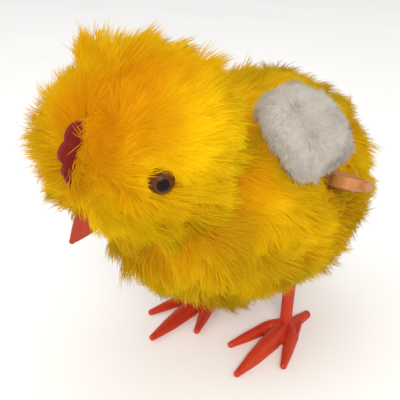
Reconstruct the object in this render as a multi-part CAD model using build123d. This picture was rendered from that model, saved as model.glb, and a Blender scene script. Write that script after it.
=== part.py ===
from build123d import *

import math
import os

# Wind-up hopping chick: a plush cover over a plastic body, with a spring clockwork inside that
# kicks the legs. Millimetres, +Z up. The chick looks along -Y; its left side, with the key, is +X.
# It is modelled about a point on the table midway between its ankles. save() then moves every
# piece so that the origin is the middle of the whole toy's box, on the table.

BOX_MIDDLE = (1.7, -11.35)          # x and y of that new origin

# ---- plastic body, an egg in two halves ----
SHELL_CENTRE = (0, -4, 44)
SHELL_RADII = (25, 38, 30)
SHELL_WALL = 1.5
SHELL_SPLIT_Z = 30                  # where the pan and the top shell meet
PAN_SCREW_X = 7
PAN_SCREW_Y = (-29, 20)
SCREW_HEAD_RADIUS = 1.9
SCREW_HEAD_HEIGHT = 1.2
SCREW_SHANK_RADIUS = 0.9
SCREW_HOLE_RADIUS = 0.95
SCREW_RECESS_RADIUS = 2.1
SCREW_SEAT_Z = 26.2                 # the screws' heads bear up against this height
SCREW_TIP_Z = 35.5
TOWER_RADIUS = 3.0
TOWER_HEIGHT = 18
BOSS_RADIUS = 2.6
BOSS_TOP_Z = 37.5
RIB_LENGTH = 12
RIB_WIDTH = 1.8
CROSS_SLOT = (2.6, 0.5, 0.8)        # driver slot: length, width, depth both ways
LEG_SLOT = (8, 13, 28)              # width, length and top of the leg slots
LEG_SLOT_CORNER = 2
STEM_HOLE_RADIUS = 3.2              # key stem's hole in the shell and in the plush

# ---- plush cover, stuffing and trims ----
FUR_CENTRE = (0, -2.7, 48)
FUR_RADII = (36.5, 49, 33.5)        # outside of the body's pile
FUR_RIM_Z = 24                      # lower rim of the cover at y = 0
FUR_RIM_SLOPE = 6.6                 # degrees that the rim rises towards the chest
SOFT_GAP = 0.3                      # air between soft solids and their neighbours
HEAD_CENTRE = (-4.5, -42.5, 70.7)
HEAD_RADIUS = 26.5                  # outside of the head's pile
STUFFING_RADIUS = 18.5
HEAD_YAW = -9.4                     # degrees, turned to the chick's right
HEAD_ROLL = 11.9                    # degrees, left side down
TRIM_CLEARANCE = 0.3

BEAK_PITCH = -44.2                  # degrees above the head's forward direction
BEAK_SIDE = 1.8                     # degrees to the chick's left
BEAK_BASE = 18.8                    # distances from the head's centre
BEAK_TIP = 29.7
BEAK_ROOT_RADII = (4.6, 4.0)
BEAK_TIP_RADIUS = 0.7
BEAK_FLANGE = (5.2, 0.8)            # radius, thickness
BEAK_SHANK = (2.4, 4.8)             # radius, length

COMB_PITCH = 14
COMB_BASE = 18.8
COMB_LOBES = [(3.0, 2.9, 3.3), (-1.0, 3.5, 3.3), (-5.3, 2.0, 2.5)]   # along, height, radius
COMB_TIP = (-9.8, 0.7, 0.6)         # the tapering lower end, likewise
COMB_THICKNESS = 1.0
COMB_FOOT = (16.5, 0.8, 3.4)        # length, height, width of the sewing strip

EYE_PITCH = 15
EYE_SIDE = 57
EYE_SEAT = 20.6
EYE_RADIUS = 3.1
EYE_SHANK_RADIUS = 0.9
EYE_SHANK_END = 12.5
WASHER_AT = 14.6
WASHER_RADIUS = 3.2
WASHER_THICKNESS = 0.8

WING_CENTRE = (24.6, -16.6, 73.2)
WING_NORMAL = (0.667, -0.194, 0.719)
WING_DOWN = (0.684, -0.252, -0.702)
WING_RADII = (15.5, 13.5, 4.6)      # along WING_DOWN, across it, half the thickness

# ---- clockwork frame ----
PLATE_X = 9.9                       # inner faces of the side plates
PLATE_THICKNESS = 0.6
PLATE_OUTLINE = [
    (-17, 45), (-15, 60), (-8, 66.5), (7, 65.5), (24.5, 52), (25, 37.5), (16.5, 28), (16.5, 26),
    (11.5, 26), (10.5, 27), (-10.5, 27), (-11.5, 26), (-16.5, 26), (-17, 30),
]
PLATE_WINDOW = (-6, 39, 12, 5)      # y, z, length, height
FRAME_TAB_Z = 26                    # under side of the plates' bent feet
FRAME_TAB_Y = (-14, 14)
FRAME_TAB_END_X = 5.4
FRAME_SCREW_X = 7.8
FRAME_SCREW_RADIUS = 0.7
FRAME_SCREW_LENGTH = 4
FRAME_SCREW_HEAD = (1.4, 0.9)       # radius, height
POST_WIDTH = 5
PILLARS = [(-13, 47), (6, 62.5), (22, 40), (-8, 32)]
PILLAR_RADIUS = 1.1
RIVET_RADIUS = 0.7
RIVET_STAND = 0.25                  # how far riveted ends stand out of a plate

# ---- wheels and shafts; places are (y, z) ----
ARBOR_POS = (-6, 57)
GEAR_MODULE = 0.5
PRESSURE_ANGLE = 25
ADDENDUM = 0.8                      # in modules
DEDENDUM = 1.15
BACKLASH = 0.16                     # at the pitch circle
GREAT_TEETH = 40
DRIVE_TEETH = 36
PINION_TEETH = 12
CRANK_DIRECTION = -50               # degrees from +Y towards +Z, arbor to crank shaft
GOVERNOR_DIRECTION = -12            # crank shaft to governor shaft
PALLET_DIRECTION = 35               # governor shaft to pallet arbor
PALLET_DISTANCE = 8.2
ARBOR_RADIUS = 1.0
SHAFT_RADIUS = 0.75
SHAFT_END_X = 11
RUNNING_CLEARANCE = 0.05
COLLAR_X = (9.0, 9.6)               # collars that keep the shafts from sliding
COLLAR_RADIUS = 1.25

SPRING_OUTER = 7.9
SPRING_INNER = 1.5
SPRING_TURNS = 7
SPRING_STRIP = 0.28
SPRING_X = (-8.6, -1.8)
SPRING_STUD_ANGLE = 150
SPRING_STUD_RADIUS = 0.95
SPRING_STUD_GAP = 0.3

GREAT_X = 6.0
GREAT_WIDTH = 1.4
GREAT_HUB = (2.4, 1.0)              # radius, length
RATCHET_TEETH = 12
RATCHET_RADIUS = 3.2
RATCHET_ROOT = 2.3
RATCHET_X = (4.6, 5.8)
CLICK_ANGLE = 165
CLICK_DISTANCE = 6.4
CLICK_TAIL = (7.4, 149)             # distance and direction from the arbor
CLICK_NOSE = (3.75, 205)
CLICK_X = (4.65, 5.75)
CLICK_PIN_RADIUS = 0.6

CRANK_PINION_X = (5.6, 7.8)
DRIVE_X = (2.6, 3.7)
DRIVE_HUB = (1.8, 0.8)
DRIVE_WINDOWS = 5
CAM_RADIUS = 3.0
CAM_THROW = 1.2
CAM_X = -4.0
CAM_WIDTH = 2.0
GOVERNOR_PINION_X = (2.2, 4.2)
ESCAPE_TEETH = 10
ESCAPE_RADIUS = 4.5
ESCAPE_ROOT = 3.0
ESCAPE_X = (0.2, 1.1)
PALLET_REACH = 5.85                 # pallet pins from the governor shaft
PALLET_SPREAD = 50
PALLET_PIN_RADIUS = 0.4
PALLET_PIN_X = (-0.9, 1.4)
PALLET_X = (-1.0, -0.2)
PALLET_WEIGHT_OFFSET = 2.6

KEY_START_X = 30.8                  # blade of the winding key
KEY_END_X = 38.6
KEY_WIDTH = 15
KEY_THICKNESS = 3.0
KEY_RIM = 1.5
KEY_WEB = 1.6                       # thickness inside the rim
KEY_CORNER = 3.6
KEY_TILT = 22                       # degrees, front edge up, as the key has come to rest
KEY_LUG = (1.8, 5, 2)
KEY_STEM_RADIUS = 2.4
KEY_STEM_START_X = 22.6
KEY_SWEEP = 9.0                     # room kept free round the turning blade

# ---- legs ----
HIP_POS = (5, 30)                   # (y, z) of the hip shaft
HIP_RADIUS = 1.0
HIP_SHAFT_END_X = 16.2
HIP_SPACING = 28.8
ANKLE_SPACING = 30.6
TOE_AXIS_Z = 0.9
# Toes: (sideways, forwards, radius) along each, from the ankle. Both feet are the same moulding.
CENTRE_TOE = [(0, 0, 2.7), (0.3, 10, 2.9), (0.1, 20, 2.15), (-0.2, 28.2, 0.95)]
SIDE_TOE = [(0.8, 0, 2.5), (4.5, 4, 2.1), (7, 11.6, 1.6), (9, 17.6, 0.95)]
BACK_TOE = [(0.8, 0, 2.4), (2.5, -9.7, 1.35)]
FOOT_WEB = [(3.4, -5), (5.6, 1.6), (6.2, 5), (3.6, 7.8), (-2.6, 8.6), (-6.2, 5), (-5.2, 1.2), (-0.4, -4.5)]
FOOT_WEB_TOP_Z = 2.1
TIP_PROUD = 0.03                    # how far the ball at a toe's tip stands out of its last ring
ANKLE_RADIUS = 3.0
SHIN_RADII = (1.85, 2.0)            # at the foot and at the hip
SHIN_FOOT_Z = 2.4
LEG_EYE = (3.2, 1.6)                # radius and half the width of the ring on the hip shaft
ROCKER_WIDTH = 2.4
ROCKER_HUB_RADIUS = 2.5
NOSE_GAP = 1.3                      # follower nose to the cam's furthest reach, legs at rest
NOSE_RADIUS = 1.1
RETURN_SPRING_X = 1.6
RETURN_SPRING = (1.9, 0.3, 1.05, 5) # coil radius, wire radius, pitch, turns

# colours
PEACH = (0.78, 0.47, 0.28)
YELLOW = (0.96, 0.72, 0.05)
WHITE = (0.90, 0.88, 0.85)
ORANGE = (0.80, 0.20, 0.10)
CRIMSON = (0.45, 0.06, 0.08)
BROWN = (0.15, 0.07, 0.04)
STEEL = (0.70, 0.71, 0.73)
BRASS = (0.78, 0.62, 0.30)
TINPLATE = (0.62, 0.64, 0.67)

FAR = 120                           # longer than anything in the toy, for cutting blocks

os.makedirs("parts", exist_ok=True)


# ---- helpers ----
def ellipsoid(centre, radii, offset=0.0):
    """An ellipsoid whose three radii all grow by offset."""
    matrix = [[0.0] * 4 for _ in range(4)]
    for i in range(3):
        matrix[i][i] = radii[i] + offset
        matrix[i][3] = centre[i]
    matrix[3][3] = 1.0
    return Solid.make_sphere(1).transform_geometry(Matrix(matrix))


def block(low, high):
    """A box from its lowest to its highest corner."""
    size = [h - l for l, h in zip(low, high)]
    middle = [(h + l) / 2 for l, h in zip(low, high)]
    return Pos(*middle) * Box(*size)


def upright(x, y, z_start, z_end, radius):
    """A round bar along Z."""
    return Pos(x, y, (z_start + z_end) / 2) * Cylinder(radius, z_end - z_start)


def outward(start, end, radius):
    """A round bar along the local z axis."""
    return Pos(0, 0, (start + end) / 2) * Cylinder(radius, end - start)


def side_plane(x, pos):
    """A plane across the X axis: its x runs along +Y and its y along +Z."""
    return Plane(origin=(x, pos[0], pos[1]), x_dir=(0, 1, 0), z_dir=(1, 0, 0))


def rod(pos, x_start, x_end, radius):
    """A round bar along X."""
    return side_plane(x_start, pos) * extrude(Circle(radius), amount=x_end - x_start)


def plate_between(face, x_range, pos=(0, 0)):
    """A flat shape drawn in (y, z) about pos, filling this range of x."""
    return side_plane(x_range[0], pos) * extrude(face, amount=x_range[1] - x_range[0])


def polar(distance, degrees):
    """The (y, z) offset of a step in this direction."""
    angle = math.radians(degrees)
    return (distance * math.cos(angle), distance * math.sin(angle))


def step_from(pos, distance, degrees):
    dy, dz = polar(distance, degrees)
    return (pos[0] + dy, pos[1] + dz)


def bar(start, start_radius, end, end_radius):
    """A flat link: the hull of two circles."""
    circles = (Pos(*start) * Circle(start_radius)).edges() + (Pos(*end) * Circle(end_radius)).edges()
    return make_hull(circles)


def largest(shape):
    return shape.solids().sort_by(SortBy.VOLUME)[-1]


def save(solid, name, colour):
    """Move a piece to the toy's own origin and write its file."""
    part = solid if isinstance(solid, (Solid, Compound)) else Compound(solid)
    part = Pos(-BOX_MIDDLE[0], -BOX_MIDDLE[1], 0) * part
    part.label = name
    part.color = Color(*colour)
    export_step(part, "parts/" + name + ".step")


# ---- places that follow from the driving dimensions ----
GREAT_PITCH_RADIUS = GEAR_MODULE * GREAT_TEETH / 2
DRIVE_PITCH_RADIUS = GEAR_MODULE * DRIVE_TEETH / 2
PINION_PITCH_RADIUS = GEAR_MODULE * PINION_TEETH / 2
CRANK_POS = step_from(ARBOR_POS, GREAT_PITCH_RADIUS + PINION_PITCH_RADIUS, CRANK_DIRECTION)
GOVERNOR_POS = step_from(CRANK_POS, DRIVE_PITCH_RADIUS + PINION_PITCH_RADIUS, GOVERNOR_DIRECTION)
PALLET_POS = step_from(GOVERNOR_POS, PALLET_DISTANCE, PALLET_DIRECTION)
CLICK_POS = step_from(ARBOR_POS, CLICK_DISTANCE, CLICK_ANGLE)
STUD_DISTANCE = SPRING_OUTER + SPRING_STUD_GAP + SPRING_STUD_RADIUS
STUD_POS = step_from(ARBOR_POS, STUD_DISTANCE, SPRING_STUD_ANGLE)
PAN_SCREWS = [(side * PAN_SCREW_X, y) for side in (-1, 1) for y in PAN_SCREW_Y]
FRAME_SCREWS = [(side * FRAME_SCREW_X, y) for side in (-1, 1) for y in FRAME_TAB_Y]
SHAFT_HOLES = [
    (ARBOR_POS, ARBOR_RADIUS),
    (CRANK_POS, SHAFT_RADIUS),
    (GOVERNOR_POS, SHAFT_RADIUS),
    (PALLET_POS, SHAFT_RADIUS),
    (HIP_POS, HIP_RADIUS),
]


# ---- plastic body ----
def shell_outside():
    return ellipsoid(SHELL_CENTRE, SHELL_RADII)


def shell_wall():
    return shell_outside() - ellipsoid(SHELL_CENTRE, SHELL_RADII, -SHELL_WALL)


def pan_posts():
    """Screw towers and square posts that stand in the pan, not yet drilled."""
    posts = []
    for x, y in PAN_SCREWS:
        posts.append(upright(x, y, SHELL_SPLIT_Z - TOWER_HEIGHT, SHELL_SPLIT_Z, TOWER_RADIUS))
    half = POST_WIDTH / 2
    for x, y in FRAME_SCREWS:
        posts.append(block((x - half, y - half, 0), (x + half, y + half, FRAME_TAB_Z)))
    return posts


def leg_slots():
    slots = []
    width, length, top = LEG_SLOT
    for side in (-1, 1):
        x = side * ANKLE_SPACING / 2
        y = HIP_POS[0]
        slot = block((x - width / 2, y - length / 2, 0), (x + width / 2, y + length / 2, top))
        slots.append(fillet(slot.edges().filter_by(Axis.Z), LEG_SLOT_CORNER))
    return slots


def bottom_pan():
    """Lower half of the egg, with leg slots, screw towers and posts for the clockwork."""
    pan = shell_wall() & block((-FAR, -FAR, 0), (FAR, FAR, SHELL_SPLIT_Z))
    for post in pan_posts():
        pan += post & shell_outside()
    for x, y in PAN_SCREWS:
        pan -= upright(x, y, 0, SCREW_SEAT_Z, SCREW_RECESS_RADIUS)
        pan -= upright(x, y, 0, SHELL_SPLIT_Z + 1, SCREW_HOLE_RADIUS)
    for x, y in FRAME_SCREWS:
        hole_end = FRAME_TAB_Z - FRAME_SCREW_LENGTH
        pan -= upright(x, y, hole_end, FRAME_TAB_Z + 1, FRAME_SCREW_RADIUS + RUNNING_CLEARANCE)
    for slot in leg_slots():
        pan -= slot
    return pan


def top_shell():
    """Upper half of the egg, with screw bosses on ribs and the hole for the key."""
    shell = shell_wall() & block((-FAR, -FAR, SHELL_SPLIT_Z), (FAR, FAR, FAR))
    for x, y in PAN_SCREWS:
        boss = upright(x, y, SHELL_SPLIT_Z, BOSS_TOP_Z, BOSS_RADIUS)
        end_y = y + math.copysign(RIB_LENGTH, y)
        low = (x - RIB_WIDTH / 2, min(y, end_y), SHELL_SPLIT_Z)
        high = (x + RIB_WIDTH / 2, max(y, end_y), BOSS_TOP_Z)
        shell += (boss + block(low, high)) & shell_outside()
    for x, y in PAN_SCREWS:
        shell -= upright(x, y, SHELL_SPLIT_Z - 1, SCREW_TIP_Z + 0.5, SCREW_HOLE_RADIUS)
    return shell - rod(ARBOR_POS, PLATE_X, FAR, STEM_HOLE_RADIUS)


def pan_screws():
    """Four recessed self-tapping screws that hold the pan to the top shell."""
    length, width, depth = CROSS_SLOT
    screws = []
    for x, y in PAN_SCREWS:
        head_end = SCREW_SEAT_Z - SCREW_HEAD_HEIGHT
        screw = upright(x, y, SCREW_SEAT_Z, SCREW_TIP_Z, SCREW_SHANK_RADIUS)
        screw += upright(x, y, head_end, SCREW_SEAT_Z, SCREW_HEAD_RADIUS)
        screw -= Pos(x, y, head_end) * Box(length, width, depth)
        screw -= Pos(x, y, head_end) * Box(width, length, depth)
        screws.append(screw.solid())
    return Compound(screws)


# ---- plush cover, head and wings ----
def key_sweep():
    """The room that the turning key needs."""
    return rod(ARBOR_POS, KEY_START_X - 1.2, FAR, KEY_SWEEP)


def fur_body():
    """Plush cover of the body as one hollow closed solid, open round the pan and the key."""
    cover = ellipsoid(FUR_CENTRE, FUR_RADII) - ellipsoid(SHELL_CENTRE, SHELL_RADII, SOFT_GAP / 2)
    cover -= Pos(0, 0, FUR_RIM_Z) * Rot(-FUR_RIM_SLOPE, 0, 0) * block((-FAR, -FAR, -FAR), (FAR, FAR, 0))
    cover -= rod(ARBOR_POS, 0, FAR, STEM_HOLE_RADIUS)
    return largest(cover - key_sweep())


def head_plane():
    """The head's own frame: x to its left, y to its back, z up."""
    yaw = math.radians(HEAD_YAW)
    roll = math.radians(HEAD_ROLL)
    left = (math.cos(roll) * math.cos(yaw), math.cos(roll) * math.sin(yaw), -math.sin(roll))
    up = (math.sin(roll) * math.cos(yaw), math.sin(roll) * math.sin(yaw), math.cos(roll))
    return Plane(origin=HEAD_CENTRE, x_dir=left, z_dir=up)


def head_direction(pitch, side=0.0):
    """A place at the head's centre: z points out of the head, x to its left, y up along it."""
    p = math.radians(pitch)
    s = math.radians(side)
    out = Vector(math.sin(s), -math.cos(s) * math.cos(p), math.cos(s) * math.sin(p))
    left = Vector(math.cos(s), math.sin(s) * math.cos(p), -math.sin(s) * math.sin(p))
    return head_plane() * Plane(origin=(0, 0, 0), x_dir=left, z_dir=out)


def beak_place():
    return head_direction(BEAK_PITCH, BEAK_SIDE)


def comb_place():
    """Stands the comb's drawing on the head: its x runs up the head, its y outwards."""
    standing = Plane(origin=(0, 0, COMB_BASE), x_dir=(0, 1, 0), z_dir=(1, 0, 0))
    return head_direction(COMB_PITCH) * standing.location


def eye_place(side):
    return head_direction(EYE_PITCH, side * EYE_SIDE)


def comb_room():
    """A straight-sided pocket round the comb and its foot."""
    length, height, width = COMB_FOOT
    gap = TRIM_CLEARANCE
    low_end = COMB_TIP[0] - COMB_TIP[2] - gap
    return block((low_end, -gap, -width / 2 - gap), (length / 2 + gap, 12, width / 2 + gap))


def fur_head():
    """Plush cover of the head, hollow, cut where it is sewn on to the body."""
    ball = Pos(*HEAD_CENTRE) * (Sphere(HEAD_RADIUS) - Sphere(STUFFING_RADIUS + SOFT_GAP))
    ball -= ellipsoid(FUR_CENTRE, FUR_RADII, SOFT_GAP)
    ball -= beak_place() * outward(0, FAR, BEAK_FLANGE[0] + TRIM_CLEARANCE)
    ball -= comb_place() * comb_room()
    for side in (-1, 1):
        ball -= eye_place(side) * outward(0, FAR, EYE_SHANK_RADIUS + 0.1)
        ball -= eye_place(side) * outward(EYE_SEAT - TRIM_CLEARANCE, FAR, EYE_RADIUS + TRIM_CLEARANCE)
    return largest(ball)


def head_stuffing():
    """Wadding ball inside the head, with room for the trims' shanks and washers."""
    ball = Pos(*HEAD_CENTRE) * Sphere(STUFFING_RADIUS)
    ball -= ellipsoid(FUR_CENTRE, FUR_RADII, SOFT_GAP)
    shank_radius, shank_length = BEAK_SHANK
    shank_end = BEAK_BASE - shank_length - TRIM_CLEARANCE
    ball -= beak_place() * outward(shank_end, FAR, shank_radius + TRIM_CLEARANCE)
    half = WASHER_THICKNESS / 2 + TRIM_CLEARANCE
    for side in (-1, 1):
        shank = outward(EYE_SHANK_END - TRIM_CLEARANCE, FAR, EYE_SHANK_RADIUS + 0.1)
        washer = outward(WASHER_AT - half, WASHER_AT + half, WASHER_RADIUS + TRIM_CLEARANCE)
        ball -= eye_place(side) * (shank + washer)
    return largest(ball)


def beak():
    """Pointed beak with a sewing flange and a short shank."""
    reach = BEAK_TIP - BEAK_BASE
    root_x, root_y = BEAK_ROOT_RADII
    root = Ellipse(root_x, root_y)
    middle = Plane.XY.offset(reach * 0.55) * Ellipse(root_x * 0.6, root_y * 0.6)
    tip = Plane.XY.offset(reach - BEAK_TIP_RADIUS) * Circle(BEAK_TIP_RADIUS)
    horn = loft([root, middle, tip]) + Pos(0, 0, reach - BEAK_TIP_RADIUS) * Sphere(BEAK_TIP_RADIUS)
    flange_radius, flange_thickness = BEAK_FLANGE
    shank_radius, shank_length = BEAK_SHANK
    horn += outward(0, flange_thickness, flange_radius)
    horn += outward(-shank_length, flange_thickness, shank_radius)
    return beak_place() * Pos(0, 0, BEAK_BASE) * horn


def comb():
    """Flat comb with three round lobes and a tapering lower end, on a sewing foot."""
    length, height, width = COMB_FOOT
    outline = bar((COMB_LOBES[0][0], 1.4), 1.4, (COMB_TIP[0], COMB_TIP[1]), COMB_TIP[2])
    for along, high, radius in COMB_LOBES:
        outline += Pos(along, high) * Circle(radius)
    outline += bar(COMB_LOBES[2][:2], COMB_LOBES[2][2], COMB_TIP[:2], COMB_TIP[2])
    outline &= Pos(0, 10) * Rectangle(FAR, 20)
    blade = extrude(outline, amount=COMB_THICKNESS / 2, both=True)
    foot = block((-length / 2, 0, -width / 2), (length / 2, height, width / 2))
    return comb_place() * (blade + foot)


def eye(side):
    """Button eye: a domed ball on a shank."""
    ball = Pos(0, 0, EYE_SEAT + 0.6) * Sphere(EYE_RADIUS) & outward(EYE_SEAT, FAR, EYE_RADIUS * 2)
    return eye_place(side) * (ball + outward(EYE_SHANK_END, EYE_SEAT + 1, EYE_SHANK_RADIUS))


def eye_washers():
    """Two discs pushed on to the eyes' shanks inside the head."""
    half = WASHER_THICKNESS / 2
    ring = outward(WASHER_AT - half, WASHER_AT + half, WASHER_RADIUS)
    ring -= outward(0, FAR, EYE_SHANK_RADIUS)
    return Compound([(eye_place(side) * ring).solid() for side in (-1, 1)])


def wing(side):
    """Stuffed wing flap lying on the shoulder, clear of the body, the head and the key's sweep."""
    plane = Plane(origin=WING_CENTRE, x_dir=WING_DOWN, z_dir=WING_NORMAL)
    flap = plane * ellipsoid((0, 0, 0), WING_RADII)
    if side < 0:
        flap = mirror(flap, Plane.YZ)
    flap -= ellipsoid(FUR_CENTRE, FUR_RADII, SOFT_GAP)
    flap -= Pos(*HEAD_CENTRE) * Sphere(HEAD_RADIUS + SOFT_GAP)
    if side > 0:
        flap -= key_sweep()
    return largest(flap)


# ---- clockwork frame ----
def plate_face(side):
    """Outline of a side plate with all its round holes and a lightening window."""
    face = make_face(Polyline(*PLATE_OUTLINE, close=True))
    for pos, radius in SHAFT_HOLES:
        face -= Pos(*pos) * Circle(radius + RUNNING_CLEARANCE)
    for pos in PILLARS:
        face -= Pos(*pos) * Circle(RIVET_RADIUS)
    if side < 0:
        face -= Pos(*STUD_POS) * Circle(RIVET_RADIUS)
    y, z, length, height = PLATE_WINDOW
    return face - Pos(y, z) * SlotOverall(length, height)


def frame_plate(side):
    """Stamped side plate with two feet bent inwards on to the pan's posts."""
    faces_x = sorted((side * PLATE_X, side * (PLATE_X + PLATE_THICKNESS)))
    plate = plate_between(plate_face(side), faces_x)
    half = POST_WIDTH / 2
    ends_x = sorted((side * FRAME_TAB_END_X, side * (PLATE_X + PLATE_THICKNESS)))
    for y in FRAME_TAB_Y:
        low = (ends_x[0], y - half, FRAME_TAB_Z)
        high = (ends_x[1], y + half, FRAME_TAB_Z + PLATE_THICKNESS)
        plate += block(low, high)
        hole_radius = FRAME_SCREW_RADIUS + 0.1
        plate -= upright(side * FRAME_SCREW_X, y, FRAME_TAB_Z - 1, FRAME_TAB_Z + 2, hole_radius)
    return plate


def frame_pillars():
    """Distance pieces between the plates, their ends riveted through them."""
    reach = PLATE_X + PLATE_THICKNESS + RIVET_STAND
    pillars = []
    for pos in PILLARS:
        pillar = rod(pos, -PLATE_X, PLATE_X, PILLAR_RADIUS) + rod(pos, -reach, reach, RIVET_RADIUS)
        pillars.append(pillar.solid())
    return Compound(pillars)


def spring_stud():
    """Post riveted in the right plate that holds the mainspring's outer end."""
    reach = PLATE_X + PLATE_THICKNESS + RIVET_STAND
    post = rod(STUD_POS, -PLATE_X, SPRING_X[1] + 0.9, SPRING_STUD_RADIUS)
    return post + rod(STUD_POS, -reach, -PLATE_X, RIVET_RADIUS)


def frame_screws():
    """Four small screws through the plates' feet into the pan's posts."""
    head_radius, head_height = FRAME_SCREW_HEAD
    top = FRAME_TAB_Z + PLATE_THICKNESS
    screws = []
    for x, y in FRAME_SCREWS:
        screw = upright(x, y, top - FRAME_SCREW_LENGTH, top, FRAME_SCREW_RADIUS)
        screw += upright(x, y, top, top + head_height, head_radius)
        screw -= Pos(x, y, top + head_height) * Box(2 * head_radius + 1, 0.4, head_height)
        screws.append(screw.solid())
    return Compound(screws)


# ---- mainspring and wheels ----
def mainspring():
    """Coiled strip: an area between two spirals, as wide as the space beside the great wheel."""
    count = 12 * SPRING_TURNS
    inner = []
    outer = []
    for i in range(count + 1):
        part = i / count
        radius = SPRING_INNER + (SPRING_OUTER - SPRING_STRIP - SPRING_INNER) * part
        inner.append(polar(radius, 360 * SPRING_TURNS * part))
        outer.append(polar(radius + SPRING_STRIP, 360 * SPRING_TURNS * part))
    edges = [Spline(*inner), Line(inner[-1], outer[-1]), Spline(*outer), Line(outer[0], inner[0])]
    return plate_between(make_face(edges), SPRING_X, ARBOR_POS)


def involute_point(base_radius, radius, half_angle, side):
    """Point of an involute flank at this radius; half_angle is where it leaves the base circle."""
    roll = math.sqrt(max((radius / base_radius) ** 2 - 1, 0))
    angle = side * (half_angle - roll + math.atan(roll))
    return (radius * math.cos(angle), radius * math.sin(angle))


def gear_tooth(teeth):
    """One involute tooth centred on the local x axis, reaching a little into the rim."""
    pitch = GEAR_MODULE * teeth / 2
    alpha = math.radians(PRESSURE_ANGLE)
    base = pitch * math.cos(alpha)
    tip = pitch + ADDENDUM * GEAR_MODULE
    root = pitch - DEDENDUM * GEAR_MODULE
    half = math.pi / (2 * teeth) - BACKLASH / (4 * pitch) + math.tan(alpha) - alpha
    start = max(base, root)
    inside = (root - 0.15) / start
    flanks = {}
    for side in (1, -1):
        points = [involute_point(base, r, half, side) for r in (start, (start + tip) / 2, tip)]
        flanks[side] = (ThreePointArc(*points), points[0], (points[0][0] * inside, points[0][1] * inside))
    left, left_foot, left_inner = flanks[1]
    right, right_foot, right_inner = flanks[-1]
    edges = [left, Line(left @ 1, right @ 1), right]
    edges.append(Line(right_foot, right_inner))
    edges.append(Line(right_inner, left_inner))
    edges.append(Line(left_inner, left_foot))
    return make_face(edges)


def gear(pos, x_range, teeth, bore, phase, windows=0):
    """A gear across X; phase is the direction in degrees in which a tooth points."""
    pitch = GEAR_MODULE * teeth / 2
    tooth = gear_tooth(teeth)
    face = Circle(pitch - DEDENDUM * GEAR_MODULE + 0.02)
    face += [Rot(0, 0, 360 * i / teeth) * tooth for i in range(teeth)]
    face -= Circle(bore)
    for i in range(windows):
        face -= Pos(*polar(pitch * 0.58, 360 * (i + 0.5) / windows)) * Circle(pitch * 0.2)
    return plate_between(Rot(0, 0, phase) * face, x_range, pos)


def hub(pos, x_start, radius, length, bore):
    return plate_between(Circle(radius) - Circle(bore), (x_start, x_start + length), pos)


def shaft_with_collars(pos, radius, collar_sides):
    """A shaft through both plates, with a fixed collar inside each of the plates named."""
    shaft = rod(pos, -SHAFT_END_X, SHAFT_END_X, radius)
    for side in collar_sides:
        ends = sorted((side * COLLAR_X[0], side * COLLAR_X[1]))
        shaft += rod(pos, ends[0], ends[1], COLLAR_RADIUS)
    return shaft


def winding_arbor():
    """Steel arbor through both plates and out to the key, which is pressed on its end."""
    arbor = rod(ARBOR_POS, -SHAFT_END_X, KEY_START_X + 4, ARBOR_RADIUS)
    arbor += rod(ARBOR_POS, -COLLAR_X[1], -COLLAR_X[0], ARBOR_RADIUS + 0.35)
    return arbor + rod(ARBOR_POS, GREAT_X + GREAT_WIDTH + 1.2, COLLAR_X[1], ARBOR_RADIUS + 0.8)


def great_wheel():
    """First wheel, on the arbor, with a hub and the hole for the click's rivet."""
    end_x = GREAT_X + GREAT_WIDTH
    wheel = gear(ARBOR_POS, (GREAT_X, end_x), GREAT_TEETH, ARBOR_RADIUS, CRANK_DIRECTION)
    wheel += hub(ARBOR_POS, end_x, GREAT_HUB[0], GREAT_HUB[1], ARBOR_RADIUS)
    return wheel - rod(CLICK_POS, 0, GREAT_X + 4, CLICK_PIN_RADIUS)


def ratchet_wheel():
    """Saw-toothed wheel on the arbor, beside the great wheel."""
    points = []
    for i in range(RATCHET_TEETH):
        points.append(polar(RATCHET_ROOT, 360 * i / RATCHET_TEETH))
        points.append(polar(RATCHET_RADIUS, 360 * i / RATCHET_TEETH))
    face = make_face(Polyline(*points, close=True)) - Circle(ARBOR_RADIUS)
    return plate_between(face, RATCHET_X, ARBOR_POS)


def click_pin():
    """Rivet that carries the click on the great wheel's face."""
    head_end = CLICK_X[0] - 0.15
    pin = rod(CLICK_POS, head_end, GREAT_X + GREAT_WIDTH, CLICK_PIN_RADIUS)
    return pin + rod(CLICK_POS, head_end - 0.6, head_end, CLICK_PIN_RADIUS + 0.4)


def click():
    """Pawl that drops behind the ratchet's teeth."""
    pivot = polar(CLICK_DISTANCE, CLICK_ANGLE)
    outline = bar(pivot, 1.15, polar(*CLICK_NOSE), 0.32)
    outline += bar(pivot, 1.0, polar(*CLICK_TAIL), 0.5)
    outline -= Pos(*pivot) * Circle(CLICK_PIN_RADIUS + RUNNING_CLEARANCE)
    return plate_between(outline, CLICK_X, ARBOR_POS)


def key_blade():
    """The key's flat oval, lying across its local z axis, with a raised rim and an end lug."""
    length = KEY_END_X - KEY_START_X
    outline = Pos(length / 2, 0) * RectangleRounded(length, KEY_WIDTH, KEY_CORNER)
    inside = Pos(length / 2, 0) * RectangleRounded(
        length - 2 * KEY_RIM, KEY_WIDTH - 2 * KEY_RIM, KEY_CORNER - KEY_RIM
    )
    blade = extrude(outline, amount=KEY_THICKNESS / 2, both=True)
    recess = extrude(inside, amount=KEY_THICKNESS)
    blade -= Pos(0, 0, KEY_WEB / 2) * recess
    blade -= Pos(0, 0, -KEY_WEB / 2 - KEY_THICKNESS) * recess
    return blade + Pos(length + 0.4, 0, 0) * Box(*KEY_LUG)


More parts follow.
